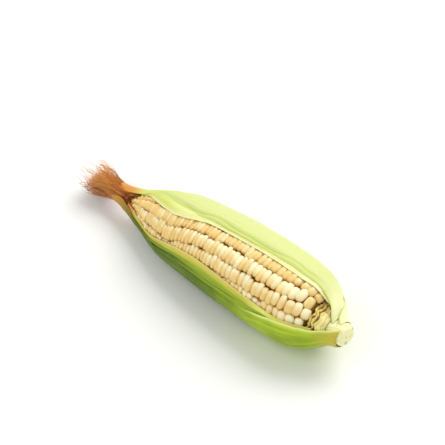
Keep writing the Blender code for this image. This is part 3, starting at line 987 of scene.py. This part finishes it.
def tubes(paths, radii, sides):
    """Points and faces of closed round threads along paths, arrays of threads, points and coordinates.

    Each ring stands square to the path. Its first direction is the cross product of the path and a fixed
    line, and its second the cross product of both."""
    threads, count = paths.shape[:2]
    forward = np.gradient(paths, axis=1)
    forward /= np.linalg.norm(forward, axis=-1, keepdims=True)
    first = np.cross(forward, [0.12, 0.31, 0.94])
    first /= np.linalg.norm(first, axis=-1, keepdims=True)
    second = np.cross(forward, first)
    turn = TURN * np.arange(sides) / sides
    ring = first[:, :, None] * np.cos(turn)[:, None] + second[:, :, None] * np.sin(turn)[:, None]
    points = paths[:, :, None] + ring * radii[:, :, None, None]
    each = count * sides
    starts = (np.arange(threads) * each)[:, None, None]
    quads = (grid_faces(count, sides, closed=True)[None, :, ::-1] + starts).reshape(-1, 4)
    caps = np.stack([np.arange(sides)[::-1], each - sides + np.arange(sides)])
    caps = (caps[None] + starts).reshape(-1, sides)
    return points.reshape(-1, 3), [quads, caps]


def silk_paths(settings, random):
    """Paths of the threads, the share of the way along them, and the tone of each thread's lock.

    The threads are bundled through the neck, then fan out in locks with growing curls. The tuft's end is
    slanted: threads toward the opening's middle, which is in front, are shorter than those behind, and
    those at both sides are longer. A few stray threads go on to the very end."""
    threads = settings.strands
    share = np.linspace(0, 1, THREAD_POINTS)[None, :]
    out = np.sqrt(random.random((threads, 1)))
    lock = random.integers(0, LOCKS, threads)
    lock_angle = (TURN * np.arange(LOCKS) / LOCKS + 0.3 * random.normal(size=LOCKS))[lock][:, None]
    spread_angle = TURN * random.random((threads, 1))
    far = np.cos(spread_angle - SILK_FRONT - TURN / 4)
    start = 7 * MM * np.sqrt(random.random((threads, 1))) * ramp(out, 0.5, 0.85) * ramp(abs(far), 0.2, 0.6)
    start = EAR_TIP + 1.2 * MM + start
    near, lock_near = np.cos(spread_angle - SILK_FRONT), np.cos(lock_angle - SILK_FRONT)
    front = out * ((1 - LOCK_SHARE) * near + LOCK_SHARE * lock_near)
    aside = out * ((1 - LOCK_SHARE) * far + LOCK_SHARE * np.cos(lock_angle - SILK_FRONT - TURN / 4))
    end = SILK_END + (8 + 14 * random.random((threads, 1)) + 8.5 * front - 7 * abs(aside)) * MM
    end = np.where(random.random((threads, 1)) < STRAY_SHARE, SILK_END, np.maximum(end, SILK_END))
    x = start + (end - start) * share
    fan = ramp(-x, 94 * MM, 120 * MM)
    radius = silk_spread(x) * out
    y = radius * ((1 - LOCK_SHARE * fan) * np.cos(spread_angle) + LOCK_SHARE * fan * np.cos(lock_angle))
    z = radius * ((1 - LOCK_SHARE * fan) * np.sin(spread_angle) + LOCK_SHARE * fan * np.sin(lock_angle))
    curl = (0.25 + 2.2 * fan) * MM
    phase, pace = TURN * random.random((threads, 1)), random.uniform(1.5, 4, (threads, 1))
    y = y + curl * np.sin(TURN * pace * share + phase) * random.random((threads, 1))
    z = z + curl * np.cos(TURN * pace * share + phase * 1.7) * random.random((threads, 1))
    paths = np.stack([x, AXIS_SIDE + y, axis_height(x) + z], axis=-1)
    return paths, share, random.random(LOCKS)[lock][:, None]


def silk_finish(settings):
    """Dry threads: brown, darkest near the cob, lighter at the ends, each with its own shade."""
    finish = Finish("Dry silk", roughness=0.55, specular_ior_level=0.4)
    along, tone = finish.attribute("along"), finish.attribute("tone")
    dark, brown, light = tuple(settings.dark), tuple(settings.brown), tuple(settings.light)
    orange = shade(light, 1.0, 1.0, 0.7)
    stops = (0.0, brown), (0.12, dark), (0.3, brown), (0.95, light)
    skin = finish.colours(along + (tone - 0.4) * 0.4, *stops)
    skin = finish.blend(tone.range(0.1, 0.5, 0.85, 0), skin, dark)
    skin = finish.blend(tone.range(0.55, 0.85, 0, 0.8), skin, orange)
    finish.feed("Base Color", skin)
    finish.bump(finish.noise(finish.object_place(), scale=1500), 0.03 * MM)
    return finish.material


class CORN_OT_silk(bpy.types.Operator):
    """Build the dried silk at the tip"""

    bl_idname = "corn.silk"
    bl_label = "Silk"

    def execute(self, context):
        settings = context.scene.corn_silk
        random = np.random.default_rng(SILK_SEED)
        paths, share, lock_tone = silk_paths(settings, random)
        threads, count = paths.shape[:2]
        radii = settings.radius * (1 - 0.6 * share) * random.uniform(0.7, 1.5, (threads, 1))
        points, faces = tubes(paths, radii, THREAD_SIDES)
        upper = np.clip((paths[:, :, 2] - axis_height(paths[:, :, 0])) / (8 * MM), -1, 1)
        tone = 0.05 + 0.45 * random.random((threads, 1)) + 0.3 * lock_tone + 0.2 * upper
        along = np.broadcast_to(share, (threads, count))
        attributes = {"tone": tone, "along": along}
        attributes = {key: np.repeat(values.ravel(), THREAD_SIDES) for key, values in attributes.items()}
        add_piece("silk", points, faces, silk_finish(settings), ["silk_tuft"], attributes)
        return {"FINISHED"}


# ---- The stalk ----

STALK_RINGS = 60
STALK_CUT_RINGS = 10
STALK_AROUND = 96
STALK_SEED = 9


def shank_finish(settings):
    """Pale and fibrous along its length, with brown spots where it has dried."""
    finish = Finish("Stalk", roughness=0.55, subsurface_weight=0.1, subsurface_scale=0.002)
    place = finish.object_place()
    fibre = finish.noise(place, stretch=(60, 500, 500))
    spots = finish.noise(place, scale=170, detail=2)
    cream, brown = tuple(settings.cream), tuple(settings.brown)
    skin = finish.blend(fibre.range(0.4, 0.7, 0, 0.35), cream, shade(cream, 0.8, 0.85, 0.6))
    skin = finish.blend(spots.range(0.60, 0.70, 0, 0.8), skin, brown)
    finish.feed("Base Color", skin)
    finish.bump(fibre * 0.6 + spots * 0.4, 0.35 * MM)
    return finish.material


class CORN_OT_shank(bpy.types.Operator):
    """Build the cut stalk"""

    bl_idname = "corn.shank"
    bl_label = "Stalk"

    def execute(self, context):
        settings = context.scene.corn_shank
        # The side is shank_profile with knobs, which are ripples round it and along it, and is worn in by a
        # square toward the cut. The cut is a disc whose rim falls back by a square.
        side = np.linspace(STALK_START, STALK_END - 0.9 * MM, STALK_RINGS)
        cut = np.linspace(0, 1, STALK_CUT_RINGS)[:, None]
        angle = TURN * np.arange(STALK_AROUND) / STALK_AROUND
        bumps = ripples(4 * np.cos(angle), side[:, None] * 120 + 3 * np.sin(angle), STALK_SEED)
        knobs = settings.knobs * (bumps - 0.4)
        worn = 1.5 * MM * ramp(side, STALK_END - 6 * MM, STALK_END)[:, None] ** 2
        side_radius = shank_profile(side)[:, None] + knobs - worn
        cut_x = STALK_END - 0.8 * MM * np.linspace(1, 0, STALK_CUT_RINGS) ** 2
        cut_radius = side_radius[-1] * (1 - cut) * 0.96
        x = np.concatenate([[STALK_START], side, cut_x])
        radius = np.concatenate([np.zeros((1, STALK_AROUND)), side_radius, cut_radius])
        points, faces = spun_grid(x, radius, STALK_AROUND, lambda station: 0 * station)
        add_piece("stalk", points, faces, shank_finish(settings), ["shank"])
        return {"FINISHED"}


# ---- The stage ----

FLOOR_SIZE = 8
FLOOR_GAP = 0.2 * MM
SKY_STRENGTH = 0.57
SENSOR_WIDTH = 36  # millimetres, as the lens


def add_light(name, direction, distance, size, power, target):
    """A soft square light that shines at the target from the given direction."""
    lamp = bpy.data.lights.new(name, "AREA")
    lamp.size = size
    lamp.energy = power
    light = bpy.data.objects.new(name, lamp)
    light.location = target + Vector(direction).normalized() * distance
    light.rotation_mode = "QUATERNION"
    light.rotation_quaternion = Vector(direction).to_track_quat("Z", "Y")
    bpy.context.scene.collection.objects.link(light)


class CORN_OT_stage(bpy.types.Operator):
    """Set the floor, the lights and the camera"""

    bl_idname = "corn.stage"
    bl_label = "Stage"

    def execute(self, context):
        scene, stage = context.scene, context.scene.corn_stage
        finish = Finish("Floor", roughness=0.8)
        grain = finish.noise(finish.object_place(), scale=40)
        floor_colour = tuple(stage.floor)
        finish.feed("Base Color", finish.blend(grain, floor_colour, shade(floor_colour, 0.99, 0.99, 0.99)))
        bpy.ops.mesh.primitive_plane_add(size=FLOOR_SIZE, location=(0, 0, -FLOOR_GAP))
        floor = context.object
        floor.name = "floor"
        floor.data.materials.append(finish.material)
        world = bpy.data.worlds.new("Studio")
        world.use_nodes = True
        sky = world.node_tree.nodes["Background"]
        sky.inputs["Color"].default_value = (1, 1, 1, 1)
        sky.inputs["Strength"].default_value = SKY_STRENGTH
        scene.world = world
        azimuth, elevation = stage.azimuth, stage.elevation
        right = Vector((math.cos(azimuth), math.sin(azimuth), 0))
        flat = math.cos(elevation)
        back = Vector((math.sin(azimuth) * flat, -math.cos(azimuth) * flat, math.sin(elevation)))
        up = back.cross(right)
        middle = Vector((0, AXIS_SIDE, float(axis_height(0.0))))
        key, fill = up + right * 0.55 + back * 0.35, back - right * 0.8 + up * 0.3
        add_light("Key", key, distance=1.1, size=0.9, power=9, target=middle)
        add_light("Fill", fill, distance=1.4, size=1.2, power=6, target=middle)
        lens = bpy.data.cameras.new("Camera")
        lens.lens = stage.lens
        lens.sensor_width = SENSOR_WIDTH
        camera = bpy.data.objects.new("Camera", lens)
        camera.location = middle + right * stage.aim_right + up * stage.aim_up + back * stage.distance
        camera.rotation_mode = "QUATERNION"
        camera.rotation_quaternion = back.to_track_quat("Z", "Y")
        scene.collection.objects.link(camera)
        scene.camera = camera
        scene.view_settings.view_transform = "Standard"
        return {"FINISHED"}


class CORN_PT_panel(bpy.types.Panel):
    """The steps and sizes of the ear of corn, in the sidebar"""

    bl_label = "Ear of Corn"
    bl_idname = "CORN_PT_panel"
    bl_space_type = "VIEW_3D"
    bl_region_type = "UI"
    bl_category = "Corn"

    def draw(self, context):
        layout = self.layout
        for step in STEPS:
            layout.operator(step.bl_idname)
        for group in SETTINGS:
            box = layout.box()
            for key in SETTINGS[group].__annotations__:
                box.prop(getattr(context.scene, group), key)


SETTINGS = {
    "corn_ear": CornEarSettings,
    "corn_husk": CornHuskSettings,
    "corn_silk": CornSilkSettings,
    "corn_shank": CornShankSettings,
    "corn_stage": CornStageSettings,
}
STEPS = [
    CORN_OT_kernels,
    CORN_OT_shank,
    CORN_OT_near_leaves,
    CORN_OT_far_leaves,
    CORN_OT_torn_leaves,
    CORN_OT_silk,
    CORN_OT_stage,
]


def register():
    for item in [*SETTINGS.values(), *STEPS, CORN_PT_panel]:
        bpy.utils.register_class(item)
    for name, group in SETTINGS.items():
        setattr(bpy.types.Scene, name, PointerProperty(type=group))


def unregister():
    for name in SETTINGS:
        delattr(bpy.types.Scene, name)
    for item in reversed([*SETTINGS.values(), *STEPS, CORN_PT_panel]):
        bpy.utils.unregister_class(item)


def main():
    register()
    bpy.ops.corn.kernels()
    bpy.ops.corn.shank()
    bpy.ops.corn.near_leaves()
    bpy.ops.corn.far_leaves()
    bpy.ops.corn.torn_leaves()
    bpy.ops.corn.silk()
    bpy.ops.corn.stage()


if __name__ == "__main__":
    main()
